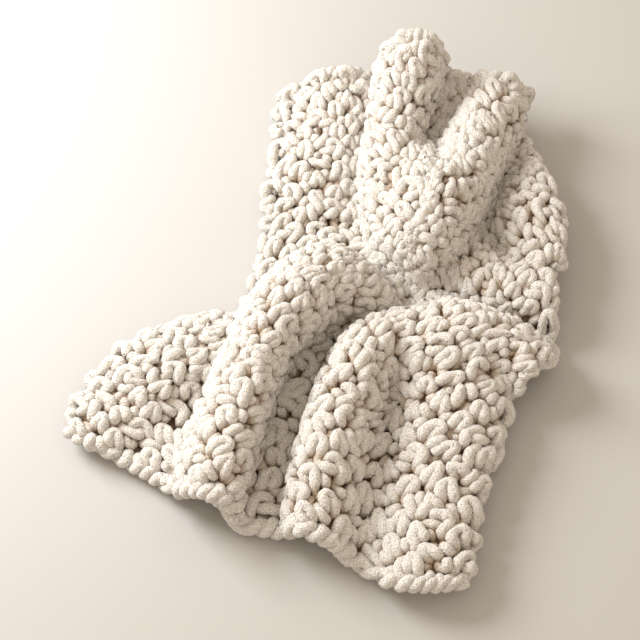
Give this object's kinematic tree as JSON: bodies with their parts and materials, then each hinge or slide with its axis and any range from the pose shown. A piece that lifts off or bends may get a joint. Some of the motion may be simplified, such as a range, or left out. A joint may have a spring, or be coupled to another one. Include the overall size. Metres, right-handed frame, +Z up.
{
  "type": "chunky knitted throw blanket",
  "caption": "Very chunky knitted throw blanket of soft off-white yarn, laid out in loose rounded folds on a level surface.",
  "frame": {"origin": "on the surface that the blanket lies on, under the middle of its bounding box", "axes": "+Z up, +Y towards the far edge, where the tall fold ends, +X to the right as seen from the near edge"},
  "size_m": [0.9896, 1.1628, 0.2398],
  "materials": {
    "yarn": "matt off-white chenille pile"
  },
  "bodies": {
    "root": {"blanket": "yarn"}
  },
  "joints": []
}
